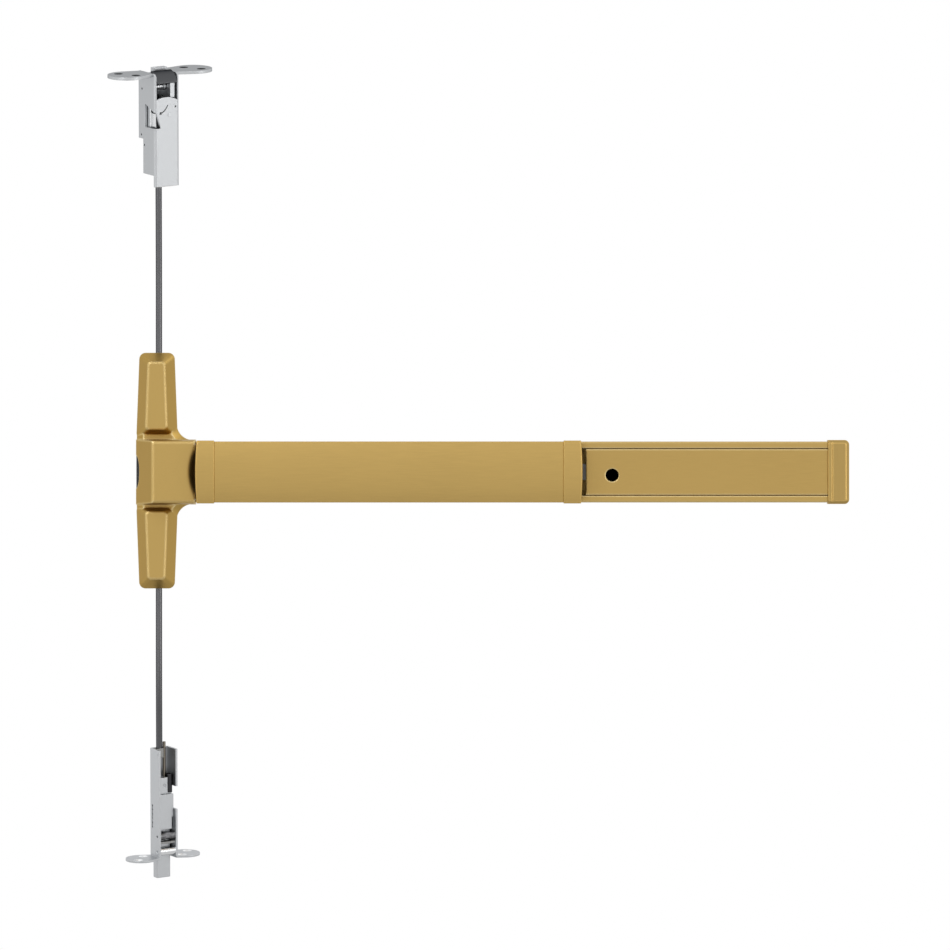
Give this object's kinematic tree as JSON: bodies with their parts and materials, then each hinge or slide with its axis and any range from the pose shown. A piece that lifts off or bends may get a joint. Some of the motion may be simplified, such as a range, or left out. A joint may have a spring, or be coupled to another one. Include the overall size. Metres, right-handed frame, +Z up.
{
  "type": "concealed vertical cable exit device",
  "caption": "Door exit device: a push bar and centre case that pull concealed vertical cables to a pivoting top latch and a sliding bottom bolt.",
  "frame": {"origin": "centre case mounting face on the door, on the cables' line and the push bar's centre line", "axes": "+X along the push bar away from the centre case, +Y into the door, +Z up"},
  "size_m": [0.6382, 0.151, 0.7036],
  "materials": {
    "satin_brass": "satin brushed",
    "latch_steel": "satin",
    "plated_steel": "zinc plated",
    "dark_steel": "black oxide",
    "cast_bolt": "dark sintered steel",
    "black_plastic": "moulded black",
    "wire": "bare wire",
    "conduit": "gloss black jacket"
  },
  "bodies": {
    "door_side": {"center_case_cover": "satin_brass", "center_case_chassis": "plated_steel", "coupler_plate": "plated_steel", "coupler_screws": "plated_steel", "mechanism_case": "satin_brass", "crank_bracket_left": "plated_steel", "crank_bracket_right": "plated_steel", "crank_pivot_pins": "plated_steel", "cable_bracket": "plated_steel", "transfer_shafts": "plated_steel", "conduit_ferrules": "dark_steel", "top_cable_conduit": "conduit", "bottom_cable_conduit": "conduit", "rail_cover": "satin_brass", "dogging_bracket": "plated_steel", "end_cap": "satin_brass", "end_cap_bracket": "plated_steel", "case_plug": "black_plastic", "top_latch_housing": "latch_steel", "top_latch_rivet": "latch_steel", "top_latch_back_plate": "plated_steel", "top_latch_anchor": "latch_steel", "top_latch_pin": "plated_steel", "top_latch_guard": "latch_steel", "top_latch_spring": "wire", "bottom_latch_housing": "latch_steel", "bottom_latch_anchor": "plated_steel", "bottom_latch_roller": "plated_steel", "bottom_latch_cam": "dark_steel", "bottom_latch_stop_bar": "plated_steel"},
    "push_bar": {"push_bar": "satin_brass", "push_bar_end_cap_left": "satin_brass", "push_bar_end_cap_right": "satin_brass", "bar_bracket_left": "plated_steel", "bar_bracket_right": "plated_steel"},
    "bell_crank_left": {"bell_crank_left": "plated_steel", "crank_roller_left": "plated_steel"},
    "bell_crank_right": {"bell_crank_right": "plated_steel", "crank_roller_right": "plated_steel"},
    "control_link": {"control_link": "plated_steel"},
    "dogging": {"dogging_shaft": "dark_steel", "dogging_hook": "plated_steel"},
    "transfer_crank_upper": {"transfer_crank_upper": "plated_steel"},
    "transfer_crank_lower": {"transfer_crank_lower": "plated_steel"},
    "carrier_upper": {"cable_carrier_upper": "plated_steel", "cable_wire_upper": "wire"},
    "carrier_lower": {"cable_carrier_lower": "plated_steel", "cable_wire_lower": "wire"},
    "top_slide": {"top_latch_slide": "plated_steel", "top_latch_wire": "wire"},
    "top_bolt": {"top_latch_bolt": "cast_bolt"},
    "top_trigger": {"top_latch_trigger": "latch_steel"},
    "bottom_bolt": {"bottom_latch_bolt": "latch_steel", "bottom_latch_carriage": "latch_steel", "bottom_latch_lever": "dark_steel", "bottom_latch_rod": "dark_steel", "bottom_latch_wire": "wire"}
  },
  "joints": [
    {"name": "push_bar_slide", "type": "slide", "parent": "door_side", "child": "push_bar", "axis": [0, 1, 0], "range_m": [0, 0.019], "stiffness_N_per_m": 900, "springref_m": -0.01},
    {"name": "bell_crank_left_turn", "type": "hinge", "parent": "door_side", "child": "bell_crank_left", "pos_m": [0.11, -0.032, 0], "axis": [0, 0, 1], "range_deg": [-40.07, 0.2]},
    {"name": "bell_crank_right_turn", "type": "hinge", "parent": "door_side", "child": "bell_crank_right", "pos_m": [0.3, -0.032, 0], "axis": [0, 0, 1], "range_deg": [-40.07, 0.2]},
    {"name": "control_link_slide", "type": "slide", "parent": "door_side", "child": "control_link", "axis": [1, 0, 0], "range_m": [0, 0.01]},
    {"name": "transfer_crank_upper_turn", "type": "hinge", "parent": "door_side", "child": "transfer_crank_upper", "pos_m": [0.018, 0, 0.018], "axis": [0, 1, 0], "range_deg": [-45.64, 0.2]},
    {"name": "transfer_crank_lower_turn", "type": "hinge", "parent": "door_side", "child": "transfer_crank_lower", "pos_m": [0.018, 0, -0.018], "axis": [0, 1, 0], "range_deg": [-0.2, 45.64]},
    {"name": "carrier_upper_slide", "type": "slide", "parent": "door_side", "child": "carrier_upper", "axis": [0, 0, -1], "range_m": [0, 0.01308]},
    {"name": "carrier_lower_slide", "type": "slide", "parent": "door_side", "child": "carrier_lower", "axis": [0, 0, 1], "range_m": [0, 0.01308]},
    {"name": "top_slide_travel", "type": "slide", "parent": "door_side", "child": "top_slide", "axis": [0, 0.1867, -0.9824], "range_m": [0, 0.01308]},
    {"name": "top_bolt_turn", "type": "hinge", "parent": "door_side", "child": "top_bolt", "pos_m": [0.00107, -0.01228, 0.3328], "axis": [0.8453, 0.525, 0.0998], "range_deg": [0, 25]},
    {"name": "top_trigger_press", "type": "slide", "parent": "door_side", "child": "top_trigger", "axis": [0, 0.1867, -0.9824], "range_m": [0, 0.003]},
    {"name": "bottom_bolt_travel", "type": "slide", "parent": "door_side", "child": "bottom_bolt", "axis": [0, -0.1867, 0.9824], "range_m": [0, 0.01308]},
    {"name": "dogging_turn", "type": "hinge", "parent": "door_side", "child": "dogging", "pos_m": [0.391, 0, -0.0027], "axis": [0, 1, 0], "range_deg": [-90, 0]}
  ],
  "couplings": [
    {"joint": "bell_crank_left_turn", "follows": "push_bar_slide", "rad_per_m": -36.438},
    {"joint": "bell_crank_right_turn", "follows": "push_bar_slide", "rad_per_m": -36.438},
    {"joint": "control_link_slide", "follows": "push_bar_slide", "ratio": 0.52632},
    {"joint": "transfer_crank_upper_turn", "follows": "push_bar_slide", "rad_per_m": -41.557},
    {"joint": "transfer_crank_lower_turn", "follows": "push_bar_slide", "rad_per_m": 41.557},
    {"joint": "carrier_upper_slide", "follows": "push_bar_slide", "ratio": 0.68819},
    {"joint": "carrier_lower_slide", "follows": "push_bar_slide", "ratio": 0.68819},
    {"joint": "top_slide_travel", "follows": "push_bar_slide", "ratio": 0.68819},
    {"joint": "bottom_bolt_travel", "follows": "push_bar_slide", "ratio": 0.68819},
    {"joint": "top_bolt_turn", "follows": "push_bar_slide", "rad_per_m": 22.873}
  ]
}
